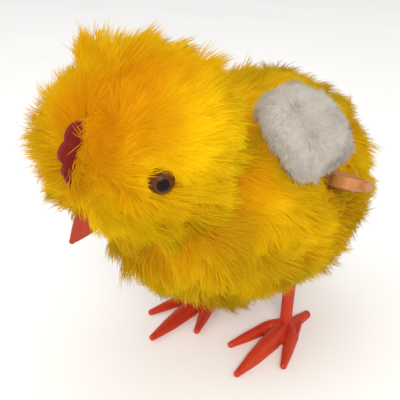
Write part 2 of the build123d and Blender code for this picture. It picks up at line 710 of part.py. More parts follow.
def winding_key():
    """Plastic key pressed on the arbor."""
    tilt = math.radians(KEY_TILT)
    plane = Plane(
        origin=(KEY_START_X, *ARBOR_POS), x_dir=(1, 0, 0), z_dir=(0, math.sin(tilt), math.cos(tilt))
    )
    key = plane * key_blade() + rod(ARBOR_POS, KEY_STEM_START_X, KEY_START_X + 5, KEY_STEM_RADIUS)
    return key - rod(ARBOR_POS, 0, KEY_START_X + 4, ARBOR_RADIUS)


def crank_shaft():
    return shaft_with_collars(CRANK_POS, SHAFT_RADIUS, (-1, 1))


def crank_pinion():
    phase = CRANK_DIRECTION + 180 + 180 / PINION_TEETH
    return gear(CRANK_POS, CRANK_PINION_X, PINION_TEETH, SHAFT_RADIUS, phase)


def drive_wheel():
    """Second wheel, on the crank shaft, pierced by round windows."""
    wheel = gear(CRANK_POS, DRIVE_X, DRIVE_TEETH, SHAFT_RADIUS, GOVERNOR_DIRECTION, DRIVE_WINDOWS)
    hub_radius, hub_length = DRIVE_HUB
    return wheel + hub(CRANK_POS, DRIVE_X[0] - hub_length, hub_radius, hub_length, SHAFT_RADIUS)


def hop_cam():
    """Eccentric that kicks the rocker arm once per turn."""
    face = Pos(0, CAM_THROW) * Circle(CAM_RADIUS) - Circle(SHAFT_RADIUS)
    return plate_between(face, (CAM_X - CAM_WIDTH / 2, CAM_X + CAM_WIDTH / 2), CRANK_POS)


def governor_shaft():
    return shaft_with_collars(GOVERNOR_POS, SHAFT_RADIUS, (-1,))


def governor_pinion():
    phase = GOVERNOR_DIRECTION + 180 + 180 / PINION_TEETH
    return gear(GOVERNOR_POS, GOVERNOR_PINION_X, PINION_TEETH, SHAFT_RADIUS, phase)


def escape_wheel():
    """Ten-toothed wheel whose teeth push the pallet pins in turn."""
    points = []
    for i in range(ESCAPE_TEETH):
        start = 360 * i / ESCAPE_TEETH
        points.append(polar(ESCAPE_RADIUS, start))
        points.append(polar(ESCAPE_RADIUS, start + 4))
        points.append(polar(ESCAPE_ROOT, start + 18))
    face = make_face(Polyline(*points, close=True)) - Circle(SHAFT_RADIUS)
    return plate_between(face, ESCAPE_X, GOVERNOR_POS)


def pallet_arbor():
    return shaft_with_collars(PALLET_POS, SHAFT_RADIUS, (-1, 1))


def pallet_lever():
    """Anchor with two pins beside the escape wheel and a weight on its far side."""
    pins = []
    for turn in (-PALLET_SPREAD, PALLET_SPREAD):
        pins.append(step_from(GOVERNOR_POS, PALLET_REACH, PALLET_DIRECTION + turn))
    weight = step_from(PALLET_POS, PALLET_WEIGHT_OFFSET, PALLET_DIRECTION + 90)
    arms = Pos(*PALLET_POS) * Circle(1.7) + bar(PALLET_POS, 1.4, weight, 1.7)
    for pin in pins:
        arms += bar(PALLET_POS, 1.2, pin, 0.7)
    lever = plate_between(arms - Pos(*PALLET_POS) * Circle(SHAFT_RADIUS), PALLET_X)
    for pin in pins:
        lever += rod(pin, PALLET_PIN_X[0], PALLET_PIN_X[1], PALLET_PIN_RADIUS)
    return lever


# ---- legs ----
def hip_shaft():
    return rod(HIP_POS, -HIP_SHAFT_END_X, HIP_SHAFT_END_X, HIP_RADIUS)


def rocker_arm():
    """Lever fixed to the hip shaft; its nose follows the hop cam."""
    nose_y = CRANK_POS[0] + CAM_RADIUS + CAM_THROW + NOSE_GAP + NOSE_RADIUS
    face = Pos(*HIP_POS) * Circle(ROCKER_HUB_RADIUS)
    face += bar(HIP_POS, 1.6, (nose_y, CRANK_POS[1]), NOSE_RADIUS)
    face -= Pos(*HIP_POS) * Circle(HIP_RADIUS)
    return plate_between(face, (CAM_X - ROCKER_WIDTH / 2, CAM_X + ROCKER_WIDTH / 2))


def toe(path, mirror=1):
    """A toe through rings round the points of its path, with a ball at its tip."""
    points = [Vector(mirror * x, -forwards, TOE_AXIS_Z) for x, forwards, radius in path]
    along = [b - a for a, b in zip(points, points[1:])]
    bends = [a.normalized() + b.normalized() for a, b in zip(along, along[1:])]
    headings = [along[0], *bends, along[-1]]
    rings = [
        Plane(origin=point, x_dir=(0, 0, 1), z_dir=heading) * Circle(size[2])
        for point, heading, size in zip(points, headings, path)
    ]
    return loft(rings, ruled=True) + Pos(points[-1]) * Sphere(path[-1][2] + TIP_PROUD)


def foot(side):
    """Three toes forwards and one back, webbed round the ankle, flat underneath."""
    web = Polyline([(x, -forwards) for x, forwards in FOOT_WEB], close=True)
    shape = extrude(make_face(web), FOOT_WEB_TOP_Z)
    shape += Pos(0, 0, TOE_AXIS_Z) * Sphere(ANKLE_RADIUS)
    shape += toe(CENTRE_TOE) + toe(SIDE_TOE) + toe(SIDE_TOE, mirror=-1) + toe(BACK_TOE)
    shape &= block((-FAR, -FAR, 0), (FAR, FAR, FAR))
    return Pos(side * ANKLE_SPACING / 2, 0) * shape


def leg(side):
    """Leg and foot moulded in one, with a ring that sits on the hip shaft."""
    hip_x = side * HIP_SPACING / 2
    ankle = Vector(side * ANKLE_SPACING / 2, 0, SHIN_FOOT_Z)
    line = Vector(hip_x, *HIP_POS) - ankle
    shin_plane = Plane(origin=ankle, x_dir=(1, 0, 0), z_dir=line)
    shin = shin_plane * Cone(*SHIN_RADII, line.length, align=(Align.CENTER, Align.CENTER, Align.MIN))
    ring_radius, ring_half = LEG_EYE
    ring = rod(HIP_POS, hip_x - ring_half, hip_x + ring_half, ring_radius)
    whole = foot(side) + shin + Pos(ankle) * Sphere(SHIN_RADII[0] + 0.2) + ring
    return whole - rod(HIP_POS, hip_x - 2 * ring_radius, hip_x + 2 * ring_radius, HIP_RADIUS)


def return_spring():
    """Coil round the hip shaft that brings the legs back after each kick."""
    coil_radius, wire_radius, pitch, turns = RETURN_SPRING
    path = Helix(pitch=pitch, height=pitch * turns, radius=coil_radius)
    coil = sweep(Plane(origin=path @ 0, z_dir=path % 0) * Circle(wire_radius), path=path)
    return side_plane(RETURN_SPRING_X, HIP_POS) * coil


PIECES = [
    ("bottom_pan", bottom_pan(), PEACH),
    ("top_shell", top_shell(), PEACH),
    ("pan_screws", pan_screws(), STEEL),
    ("fur_body", fur_body(), YELLOW),
    ("fur_head", fur_head(), YELLOW),
    ("head_stuffing", head_stuffing(), WHITE),
    ("beak", beak(), ORANGE),
    ("comb", comb(), CRIMSON),
    ("eye_left", eye(1), BROWN),
    ("eye_right", eye(-1), BROWN),
    ("eye_washers", eye_washers(), WHITE),
    ("wing_left", wing(1), WHITE),
    ("wing_right", wing(-1), WHITE),
    ("frame_plate_left", frame_plate(1), TINPLATE),
    ("frame_plate_right", frame_plate(-1), TINPLATE),
    ("frame_pillars", frame_pillars(), STEEL),
    ("frame_screws", frame_screws(), STEEL),
    ("spring_stud", spring_stud(), STEEL),
    ("mainspring", mainspring(), STEEL),
    ("return_spring", return_spring(), STEEL),
    ("winding_key", winding_key(), PEACH),
    ("winding_arbor", winding_arbor(), STEEL),
    ("great_wheel", great_wheel(), BRASS),
    ("ratchet_wheel", ratchet_wheel(), STEEL),
    ("click_pin", click_pin(), STEEL),
    ("click", click(), STEEL),
    ("crank_shaft", crank_shaft(), STEEL),
    ("crank_pinion", crank_pinion(), BRASS),
    ("drive_wheel", drive_wheel(), BRASS),
    ("hop_cam", hop_cam(), STEEL),
    ("governor_shaft", governor_shaft(), STEEL),
    ("governor_pinion", governor_pinion(), BRASS),
    ("escape_wheel", escape_wheel(), BRASS),
    ("pallet_arbor", pallet_arbor(), STEEL),
    ("pallet_lever", pallet_lever(), BRASS),
    ("hip_shaft", hip_shaft(), STEEL),
    ("rocker_arm", rocker_arm(), TINPLATE),
    ("leg_left", leg(1), ORANGE),
    ("leg_right", leg(-1), ORANGE),
]
for piece_name, piece, piece_colour in PIECES:
    save(piece, piece_name, piece_colour)
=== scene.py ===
import math

import bpy
import numpy as np
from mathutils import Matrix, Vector, kdtree


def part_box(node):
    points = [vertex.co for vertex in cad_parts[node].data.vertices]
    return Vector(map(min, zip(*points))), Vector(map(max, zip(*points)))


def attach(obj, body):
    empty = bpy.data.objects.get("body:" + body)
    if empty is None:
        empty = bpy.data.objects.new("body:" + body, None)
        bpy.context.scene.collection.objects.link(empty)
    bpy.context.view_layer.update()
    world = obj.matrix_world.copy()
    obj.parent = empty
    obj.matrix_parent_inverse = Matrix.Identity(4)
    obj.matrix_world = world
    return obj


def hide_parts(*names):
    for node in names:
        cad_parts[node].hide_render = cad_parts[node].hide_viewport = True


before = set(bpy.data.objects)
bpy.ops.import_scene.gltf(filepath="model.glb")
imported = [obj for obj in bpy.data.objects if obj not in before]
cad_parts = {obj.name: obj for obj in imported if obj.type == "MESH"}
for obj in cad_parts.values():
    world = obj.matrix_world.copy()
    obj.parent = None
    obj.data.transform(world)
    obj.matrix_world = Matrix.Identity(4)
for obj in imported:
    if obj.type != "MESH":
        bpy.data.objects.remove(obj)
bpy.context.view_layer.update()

# A plush wind-up chick. Places and lengths are in metres. Its body points along -Y, its left side is +X, and
# it stands on z = 0. The hard parts keep their CAD shapes, and the plush is cloth skins with strands of pile.
MM = 0.001


# ---- vectors and smooth fields ----
WAVES = 14                           # sine waves added up in a random field
WAVE_SPREAD = (0.6, 1.5)             # their frequencies, as shares of the stated one
WAVE_GAIN = 1.4                      # brings the sum to about -1 to 1


def unit(vectors):
    """The same directions at length 1."""
    return vectors / np.maximum(np.linalg.norm(vectors, axis=-1, keepdims=True), 1e-12)


def tangent_part(vectors, normals):
    """What is left of each vector in the plane square to its normal."""
    return vectors - normals * np.sum(vectors * normals, axis=-1, keepdims=True)


def ramp_up(values, low, high):
    """0 below low, 1 above high, smooth between."""
    t = np.clip((values - low) / (high - low), 0, 1)
    return t * t * (3 - 2 * t)


def facing(normal, direction, sharpness):
    """1 where the skin faces this direction, fading to 0 round it."""
    return np.clip(normal @ unit(np.array(direction)), 0, 1) ** sharpness


def wander(place, seed, wavelength, parts=3):
    """Random numbers that change smoothly from place to place: parts of them for each, about -1 to 1."""
    rng = np.random.default_rng(seed)
    turns = unit(rng.normal(size=(WAVES, 3))) * 2 * math.pi / wavelength
    turns *= rng.uniform(*WAVE_SPREAD, (WAVES, 1))
    shift = rng.uniform(0, 2 * math.pi, (WAVES, parts))
    share = rng.normal(size=(WAVES, parts)) / math.sqrt(WAVES)
    angle = place @ turns.T
    return sum(share[k] * np.sin(angle[:, k:k + 1] + shift[k]) for k in range(WAVES)) * WAVE_GAIN


def drift(place, seed, wavelength):
    """One smooth random number for each place."""
    return wander(place, seed, wavelength, parts=1)[:, 0]


class Egg:
    """An ellipsoid surface to grow fur on."""

    def __init__(self, centre, radii):
        self.centre = np.array(centre, dtype=float)
        self.radii = np.array(radii, dtype=float)

    def points(self, count, rng):
        """Evenly spread points on the surface and their outward normals."""
        found = []
        smallest = self.radii.min()
        while sum(len(f) for f in found) < count:
            ball = unit(rng.normal(size=(count, 3)))
            stretch = np.linalg.norm(ball / self.radii, axis=1) * smallest
            found.append(ball[rng.random(count) < stretch])
        ball = np.concatenate(found)[:count]
        place = self.centre + ball * self.radii
        return place, unit(ball / self.radii)

    def depth(self, place):
        """Below 1 inside the ellipsoid, above 1 outside."""
        return np.linalg.norm((place - self.centre) / self.radii, axis=1)

    def push_out(self, place):
        """Places inside the ellipsoid, moved out to its surface."""
        depth = self.depth(place)[:, None]
        return np.where(depth < 1, self.centre + (place - self.centre) / np.maximum(depth, 0.2), place)


# ---- places read from the frame ----
def box(node):
    """A node's lowest and highest corners."""
    low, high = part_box(node)
    return np.array(low, dtype=float), np.array(high, dtype=float)


def middle(node):
    low, high = box(node)
    return (low + high) / 2


HIP_TO_ANKLE = 5 * MM                # how far the ankles stand before the hip shaft
BASE = middle("hip_shaft") * (1, 1, 0) - (0, HIP_TO_ANKLE, 0)     # on the table midway between the ankles

BODY_LOW, BODY_HIGH = box("fur_body")
BODY_HEIGHT_RADIUS = 33.5 * MM       # the cover ends at its rim, so its box doesn't show this one
BODY_RADII = np.array([*(BODY_HIGH - BODY_LOW)[:2] / 2, BODY_HEIGHT_RADIUS])
BODY_CENTRE = np.array([*middle("fur_body")[:2], BODY_HIGH[2] - BODY_HEIGHT_RADIUS])
RIM_Z = 24 * MM                      # height of the cover's rim beside the ankles
RIM_SLOPE = math.tan(math.radians(6.6))

HEAD_LOW, HEAD_HIGH = box("fur_head")
HEAD_RADIUS = (HEAD_HIGH[0] - HEAD_LOW[0]) / 2
HEAD_CENTRE = np.array([middle("fur_head")[0], HEAD_LOW[1] + HEAD_RADIUS, HEAD_HIGH[2] - HEAD_RADIUS])
EYES = {side: middle("eye_" + side) for side in ("left", "right")}
EYE_DIRS = {side: unit(place - HEAD_CENTRE) for side, place in EYES.items()}
COMB_DIR = unit(middle("comb") - HEAD_CENTRE)
BEAK_DIR = unit(middle("beak") - HEAD_CENTRE)
HEAD_LEFT = unit(EYES["left"] - EYES["right"])

KEY_AXIS_Y, KEY_AXIS_Z = middle("winding_key")[1:]

BODY_SKIN = Egg(BODY_CENTRE, BODY_RADII - 6.0 * MM)
BODY_PILE_FLOOR = Egg(BODY_CENTRE, BODY_RADII - 5.2 * MM)         # strands bend no deeper than this
HEAD_SKIN_RADIUS = HEAD_RADIUS - 6.3 * MM
HEAD_SKIN = Egg(HEAD_CENTRE, np.full(3, HEAD_SKIN_RADIUS))


def rim_height(y):
    return RIM_Z - RIM_SLOPE * (y - BASE[1])


def from_key_stem(place):
    """Distance from the line of the key's stem, without end on the side where there is no key."""
    away = np.hypot(place[..., 1] - KEY_AXIS_Y, place[..., 2] - KEY_AXIS_Z)
    return np.where(place[..., 0] > BASE[0], away, np.inf)


# ---- materials ----
MIX_FIRST, MIX_SECOND, MIX_RESULT = 6, 7, 2      # the colour sockets of a Mix node
WHITE = (1.0, 1.0, 1.0)


def new_material(name):
    material = bpy.data.materials.new(name)
    material.use_nodes = True
    nodes = material.node_tree.nodes
    links = material.node_tree.links
    return material, nodes, links, nodes["Principled BSDF"]


def noise(nodes, links, scale, detail, roughness=0.55):
    coords = nodes.new("ShaderNodeTexCoord")
    texture = nodes.new("ShaderNodeTexNoise")
    texture.inputs["Scale"].default_value = scale
    texture.inputs["Detail"].default_value = detail
    texture.inputs["Roughness"].default_value = roughness
    links.new(coords.outputs["Object"], texture.inputs["Vector"])
    return texture.outputs["Fac"]


def ramp(nodes, links, source, stops):
    """Colours along a number: stops are (place, colour)."""
    node = nodes.new("ShaderNodeValToRGB")
    elements = node.color_ramp.elements
    while len(elements) < len(stops):
        elements.new(0.5)
    for element, (place, colour) in zip(elements, stops):
        element.position = place
        element.color = (*colour, 1.0)
    links.new(source, node.inputs["Fac"])
    return node.outputs["Color"]


def darkened(nodes, links, share, colour, by):
    """One colour multiplied by another, for this share."""
    node = nodes.new("ShaderNodeMix")
    node.data_type = "RGBA"
    node.blend_type = "MULTIPLY"
    node.inputs["Factor"].default_value = share
    links.new(colour, node.inputs[MIX_FIRST])
    links.new(by, node.inputs[MIX_SECOND])
    return node.outputs[MIX_RESULT]


def bump(nodes, links, shader, height, strength, distance):
    node = nodes.new("ShaderNodeBump")
    node.inputs["Strength"].default_value = strength
    node.inputs["Distance"].default_value = distance
    links.new(height, node.inputs["Height"])
    links.new(node.outputs["Normal"], shader.inputs["Normal"])


def remap(nodes, links, source, low, high):
    node = nodes.new("ShaderNodeMapRange")
    node.inputs["To Min"].default_value = low
    node.inputs["To Max"].default_value = high
    links.new(source, node.inputs["Value"])
    return node.outputs["Result"]


def plastic(name, base, dark, light, roughness=0.42):
    """Moulded plastic: slow colour drift, faint flow marks and a fine satin skin."""
    material, nodes, links, shader = new_material(name)
    slow = noise(nodes, links, scale=90.0, detail=2.0)
    colour = ramp(nodes, links, slow, [(0.3, dark), (0.5, base), (0.75, light)])
    fine = noise(nodes, links, scale=420.0, detail=4.0)
    fleck = ramp(nodes, links, fine, [(0.45, (0.86, 0.86, 0.86)), (0.6, WHITE)])
    links.new(darkened(nodes, links, 0.6, colour, fleck), shader.inputs["Base Color"])
    wear = noise(nodes, links, scale=160.0, detail=4.0)
    links.new(remap(nodes, links, wear, roughness - 0.08, roughness + 0.12), shader.inputs["Roughness"])
    shader.inputs["Specular IOR Level"].default_value = 0.35
    shader.inputs["Subsurface Weight"].default_value = 0.12
    shader.inputs["Subsurface Radius"].default_value = (0.6, 0.25, 0.15)
    shader.inputs["Subsurface Scale"].default_value = 0.001
    bump(nodes, links, shader, noise(nodes, links, scale=900.0, detail=3.0), strength=0.25, distance=0.0001)
    return material


def metal(name, base, dark, roughness=0.32, grain=300.0):
    """Stamped or drawn metal with a grain and duller patches."""
    material, nodes, links, shader = new_material(name)
    patches = ramp(nodes, links, noise(nodes, links, scale=140.0, detail=4.0), [(0.35, dark), (0.6, base)])
    links.new(patches, shader.inputs["Base Color"])
    shader.inputs["Metallic"].default_value = 1.0
    wear = noise(nodes, links, scale=grain, detail=4.0)
    links.new(remap(nodes, links, wear, roughness - 0.1, roughness + 0.15), shader.inputs["Roughness"])
    fine = noise(nodes, links, scale=grain * 3, detail=2.0)
    bump(nodes, links, shader, fine, strength=0.15, distance=0.00005)
    return material


def felt(name, base, dark):
    """Stiffened felt: matted fibre colour and a fuzzy sheen."""
    material, nodes, links, shader = new_material(name)
    matted = noise(nodes, links, scale=700.0, detail=5.0, roughness=0.7)
    links.new(ramp(nodes, links, matted, [(0.3, dark), (0.65, base)]), shader.inputs["Base Color"])
    shader.inputs["Roughness"].default_value = 0.75
    shader.inputs["Specular IOR Level"].default_value = 0.2
    shader.inputs["Sheen Weight"].default_value = 0.06
    shader.inputs["Sheen Roughness"].default_value = 0.5
    bump(nodes, links, shader, noise(nodes, links, scale=1500.0, detail=4.0), strength=0.6, distance=0.0002)
    return material


def pile(name, sheen):
    """Plush strands: the colour along each strand is in its mesh, broken up by soft patches."""
    material, nodes, links, shader = new_material(name)
    strand = nodes.new("ShaderNodeAttribute")
    strand.attribute_name = "pile"
    soft = noise(nodes, links, scale=110.0, detail=3.0)
    patches = ramp(nodes, links, soft, [(0.35, (0.90, 0.85, 0.78)), (0.6, WHITE)])
    colour = darkened(nodes, links, 0.6, strand.outputs["Color"], patches)
    links.new(colour, shader.inputs["Base Color"])
    shader.inputs["Roughness"].default_value = 0.8
    shader.inputs["Specular IOR Level"].default_value = 0.04
    shader.inputs["Sheen Weight"].default_value = sheen
    shader.inputs["Sheen Roughness"].default_value = 0.6
    return material


def backing(name, base, dark):
    """Knitted backing cloth under the pile."""
    material, nodes, links, shader = new_material(name)
    knit = ramp(nodes, links, noise(nodes, links, scale=900.0, detail=2.0), [(0.35, dark), (0.6, base)])
    links.new(knit, shader.inputs["Base Color"])
    shader.inputs["Roughness"].default_value = 0.85
    bump(nodes, links, shader, noise(nodes, links, scale=1300.0, detail=2.0), strength=0.5, distance=0.0002)
    return material


def eye_look(side):
    """Glossy plastic with a dark brown iris round a black pupil."""
    eye_radius = 3.1 * MM
    eye_depth = 21.2 * MM            # from the head's centre to the middle of the eye's ball
    material, nodes, links, shader = new_material(f"eye_{side}_look")
    coords = nodes.new("ShaderNodeTexCoord")
    away = nodes.new("ShaderNodeVectorMath")
    away.operation = "SUBTRACT"
    away.inputs[1].default_value = tuple(HEAD_CENTRE + EYE_DIRS[side] * eye_depth)
    links.new(coords.outputs["Object"], away.inputs[0])
    outwards = nodes.new("ShaderNodeVectorMath")
    outwards.operation = "DOT_PRODUCT"
    outwards.inputs[1].default_value = tuple(EYE_DIRS[side] / eye_radius)
    links.new(away.outputs["Vector"], outwards.inputs[0])
    iris = ramp(nodes, links, outwards.outputs["Value"], [
        (0.0, (0.055, 0.016, 0.006)), (0.60, (0.080, 0.024, 0.008)), (0.84, (0.11, 0.032, 0.011)),
        (0.90, (0.012, 0.006, 0.005)), (1.0, (0.006, 0.004, 0.004)),
    ])
    fine = noise(nodes, links, scale=2200.0, detail=3.0)
    fleck = ramp(nodes, links, fine, [(0.4, (0.7, 0.7, 0.7)), (0.6, WHITE)])
    links.new(darkened(nodes, links, 0.5, iris, fleck), shader.inputs["Base Color"])
    wear = noise(nodes, links, scale=500.0, detail=3.0)
    links.new(remap(nodes, links, wear, 0.22, 0.36), shader.inputs["Roughness"])
    shader.inputs["Specular IOR Level"].default_value = 0.12
    return material


# ---- strands of pile ----
RINGS = np.array([0.0, 0.38, 0.74])  # where a strand has a ring of corners, as shares of its length
SIDES = 3
STRAND_CORNERS = len(RINGS) * SIDES + 1
TAPER, TAPER_POWER = 0.75, 1.8       # a strand loses this share of its width, mostly near its tip
OWN_NORMAL = 0.35                    # share of each strand's own roundness in its shading
ALONG_NORMAL = 0.25                  # and of its direction
STRANDS_PER_PIECE = 12000
UV_CELLS = 110                       # strand cells along each side of a fur piece's UV square
UV_MARGIN = 0.1                      # empty edge of each cell

UNDERCOAT_LENGTH = 0.68              # undercoat strands are shorter and are held less by the wisps
UNDERCOAT_GRIP = 0.35
TOP_GRIP = (0.7, 1.0)
TIP_LIFT = 0.55                      # strands stand up less at their tips
BEND_PULL = 0.3                      # share of a wisp's pull that reaches the bend of its strands
BEND_LIFT = 0.12
MOST_STRETCH = 1.15                  # a wisp draws no strand out to more than this share of its length
TINT_SPREAD = 0.45
PATCH_AT_ROOT = 0.6                  # patches of colour are weaker at the roots, and darker there as painted shade deep in the pile
PATCH_ROOT_TONE = 0.9

STRAND_SHARE = 1.0
WIDEN = 1 / math.sqrt(STRAND_SHARE)


def add_object(name, mesh, body="body"):
    piece = bpy.data.objects.new(name, mesh)
    bpy.context.scene.collection.objects.link(piece)
    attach(piece, body)
    return piece


def spread_clumps(roots, count, rng):
    """Index of the clump leader of each root."""
    leaders = rng.choice(len(roots), size=min(count, len(roots)), replace=False)
    tree = kdtree.KDTree(len(leaders))
    for i, leader in enumerate(leaders):
        tree.insert(roots[leader], i)
    tree.balance()
    nearest = np.array([tree.find(root)[1] for root in roots])
    return leaders[nearest]


def strand_faces():
    """Faces of one strand: its sides, its pointed tip and its closed root."""
    faces = []
    for ring in range(len(RINGS) - 1):
        low, high = ring * SIDES, (ring + 1) * SIDES
        for k in range(SIDES):
            n = (k + 1) % SIDES
            faces.append([low + k, low + n, high + n, high + k])
    last = (len(RINGS) - 1) * SIDES
    for k in range(SIDES):
        faces.append([last + k, last + (k + 1) % SIDES, STRAND_CORNERS - 1])
    faces.append(list(range(SIDES))[::-1])
    return faces


def strand_corners(root, bend, tip, width, skin_normal):
    """Corners of tapering strands along quadratic curves, and their shading normals.

    The normals lean to the skin's, so that light runs softly over the pile as through real fine hair."""
    t = RINGS[None, :, None]
    a, b, c = root[:, None, :], bend[:, None, :], tip[:, None, :]
    centre = a * (1 - t) ** 2 + 2 * b * t * (1 - t) + c * t ** 2
    along = unit(2 * (b - a) * (1 - t) + 2 * (c - b) * t)
    helper = unit(np.cross(tip - root, np.roll(tip - root, 1, axis=1)))
    side = unit(np.cross(along, np.broadcast_to(helper[:, None, :], along.shape)))
    over = np.cross(along, side)
    radius = (width[:, None, None] / 2) * (1 - t ** TAPER_POWER * TAPER)
    corners = np.zeros((len(root), STRAND_CORNERS, 3))
    normals = np.repeat(skin_normal[:, None, :], STRAND_CORNERS, axis=1)
    for k in range(SIDES):
        angle = 2 * math.pi * k / SIDES
        around = side * math.cos(angle) + over * math.sin(angle)
        corners[:, k:-1:SIDES] = centre + radius * around
        normals[:, k:-1:SIDES] += around * OWN_NORMAL
    corners[:, -1] = tip
    normals += unit(tip - root)[:, None, :] * ALONG_NORMAL
    return corners, unit(normals)


def strand_mesh(name, root, bend, tip, width, root_colour, tip_colour, skin_normal):
    """One mesh of closed strands, with their colours and a UV cell for each."""
    count = len(root)
    corners, normals = strand_corners(root, bend, tip, width, skin_normal)
    faces = strand_faces()
    flat = np.array([v for f in faces for v in f])
    first = np.concatenate([[0], np.cumsum([len(f) for f in faces])[:-1]])
    strands = np.arange(count)
    loops = (flat[None, :] + STRAND_CORNERS * strands[:, None]).ravel()
    starts = (first[None, :] + len(flat) * strands[:, None]).ravel()

    mesh = bpy.data.meshes.new(name)
    mesh.vertices.add(count * STRAND_CORNERS)
    mesh.vertices.foreach_set("co", corners.ravel())
    mesh.loops.add(len(loops))
    mesh.loops.foreach_set("vertex_index", loops)
    mesh.polygons.add(len(starts))
    mesh.polygons.foreach_set("loop_start", starts)
    mesh.update(calc_edges=True)
    mesh.polygons.foreach_set("use_smooth", np.ones(len(starts), dtype=bool))

    level = np.concatenate([np.repeat(RINGS, SIDES), [1.0]])
    shade = level[None, :, None]
    colour = root_colour[:, None, :] * (1 - shade) + tip_colour[:, None, :] * shade
    rgba = np.concatenate([colour, np.ones((count, STRAND_CORNERS, 1))], axis=2)
    attribute = mesh.color_attributes.new("pile", "FLOAT_COLOR", "POINT")
    attribute.data.foreach_set("color", rgba.ravel().astype(np.float32))

    across = np.concatenate([np.tile(np.arange(SIDES) / SIDES, len(RINGS)), [0.5]])
    room = 1 - 2 * UV_MARGIN
    u = (strands % UV_CELLS)[:, None] + UV_MARGIN + room * level[flat][None, :]
    v = (strands // UV_CELLS)[:, None] + UV_MARGIN + room * across[flat][None, :]
    layer = mesh.uv_layers.new(name="OFBake")
    layer.data.foreach_set("uv", (np.stack([u, v], axis=2) / UV_CELLS).ravel().astype(np.float32))
    mesh.validate()
    mesh.normals_split_custom_set_from_vertices(normals.reshape(-1, 3))
    return mesh


def strand_paths(roots, normals, flow, style, rng):
    """Bends and tips of strands that lean along flow and gather into wisps, and a tint from 0 to 1."""
    count = len(roots)
    length = style["length"] * (1 + style["uneven"] * rng.uniform(-1, 1, count))
    length *= style.get("scale", 1.0)
    under = rng.random(count) < style["undercoat"]
    length[under] *= UNDERCOAT_LENGTH
    lift = np.broadcast_to(style["lift"], count)[:, None]
    lean = unit(flow + rng.normal(size=(count, 3)) * style["stray"])
    start = unit(normals * lift + lean * (1 - lift))
    end = unit(normals * lift * TIP_LIFT + lean + np.array([0, 0, -style["droop"]]))
    bend = roots + start * length[:, None] * 0.5
    tip = bend + end * length[:, None] * 0.5
    tint = rng.normal(size=(count, 1)) * 0.5
    grip = np.where(under, UNDERCOAT_GRIP, rng.uniform(*TOP_GRIP, count))[:, None]
    for clumps, pull, spin in style["clumps"]:
        leader = spread_clumps(roots, clumps, rng)
        aim = rng.normal(size=(count, 3)) * spin * style["length"]
        target = (tip + tangent_part(aim, normals))[leader]
        held = pull * grip
        tip = tip * (1 - held) + target * held
        held_bend = target * 0.5 + roots * 0.5 + normals * length[:, None] * BEND_LIFT
        bend = bend * (1 - held * BEND_PULL) + held_bend * held * BEND_PULL
        tint = tint * 0.7 + rng.normal(size=(count, 1))[leader] * 0.5
    reach = np.linalg.norm(tip - roots, axis=1)
    shrink = np.minimum(1.0, MOST_STRETCH * length / np.maximum(reach, 1e-9))[:, None]
    tip = roots + (tip - roots) * shrink
    bend = roots + (bend - roots) * shrink
    if "keep_out" in style:
        bend, tip = (style["keep_out"].push_out(place) for place in (bend, tip))
    return bend, tip, np.clip(tint * TINT_SPREAD + 0.5, 0, 1)


def strand_colours(style, tint):
    """Root and tip colours: between the style's pairs by tint, then patched."""
    root_colour, tip_colour = (style[end][0] * (1 - tint) + style[end][1] * tint for end in ("root", "tip"))
    for amount, colour, at_tip in style.get("patches", []):
        amount = amount[:, None]
        at_root = amount * PATCH_AT_ROOT
        tip_colour = tip_colour * (1 - amount * at_tip) + colour * amount * at_tip
        root_colour = root_colour * (1 - at_root) + colour * PATCH_ROOT_TONE * at_root
    return root_colour, tip_colour


def grow(name, roots, normals, flow, style, rng, material):
    """Pieces of fur from these roots.

    style holds the strands' length and width, a scale for each, how uneven they are, how far they stray from
    flow, lift from the skin and droop, the share that is undercoat, the clumps (how many, pull, spin), the
    pairs of root and tip colours, patches of colour (how much, colour, share at the tip), and an ellipsoid
    to keep out of."""
    bend, tip, tint = strand_paths(roots, normals, flow, style, rng)
    root_colour, tip_colour = strand_colours(style, tint)
    width = style["width"] * rng.uniform(0.7, 1.3, len(roots))
    order = rng.permutation(len(roots))
    for part, begin in enumerate(range(0, len(roots), STRANDS_PER_PIECE)):
        pick = order[begin:begin + STRANDS_PER_PIECE]
        strands = (roots, bend, tip, width, root_colour, tip_colour, normals)
        mesh = strand_mesh(f"{name}_{part + 1}", *(values[pick] for values in strands))
        mesh.materials.append(material)
        piece = add_object(mesh.name, mesh)
        piece.visible_shadow = False             # real acrylic pile lets light through


# ---- skins under the pile ----
def skin_object(name, verts, faces, thickness, material):
    """Faces thickened inwards into a closed smooth cloth skin."""
    mesh = bpy.data.meshes.new(name)
    mesh.from_pydata([tuple(v) for v in verts], [], faces)
    mesh.materials.append(material)
    piece = add_object(name, mesh)
    weld = piece.modifiers.new("weld", "WELD")
    weld.merge_threshold = 1e-6
    solid = piece.modifiers.new("thickness", "SOLIDIFY")
    solid.thickness = thickness
    solid.offset = -1
    graph = bpy.context.evaluated_depsgraph_get()
    shape = bpy.data.meshes.new_from_object(piece.evaluated_get(graph))
    piece.modifiers.clear()
    piece.data = shape
    shape.polygons.foreach_set("use_smooth", np.ones(len(shape.polygons), dtype=bool))
    return piece


def egg_shell(name, egg, thickness, keep, material):
    """A closed thin cloth skin over an ellipsoid; keep(points) says where there is cloth."""
    rows, columns = 96, 144
    polar, turn = np.meshgrid(
        math.pi * np.arange(rows + 1) / rows, 2 * math.pi * np.arange(columns) / columns, indexing="ij"
    )
    ball = np.stack([np.sin(polar) * np.cos(turn), np.sin(polar) * np.sin(turn), np.cos(polar)], axis=-1)
    verts = (egg.centre + egg.radii * ball).reshape(-1, 3)
    i, j = (a.ravel() for a in np.meshgrid(np.arange(rows), np.arange(columns), indexing="ij"))
    n = (j + 1) % columns
    quads = np.stack([i * columns + j, (i + 1) * columns + j, (i + 1) * columns + n, i * columns + n], axis=1)
    quads = quads[keep(verts[quads].mean(axis=1))]
    return skin_object(name, verts, quads.tolist(), thickness, material)


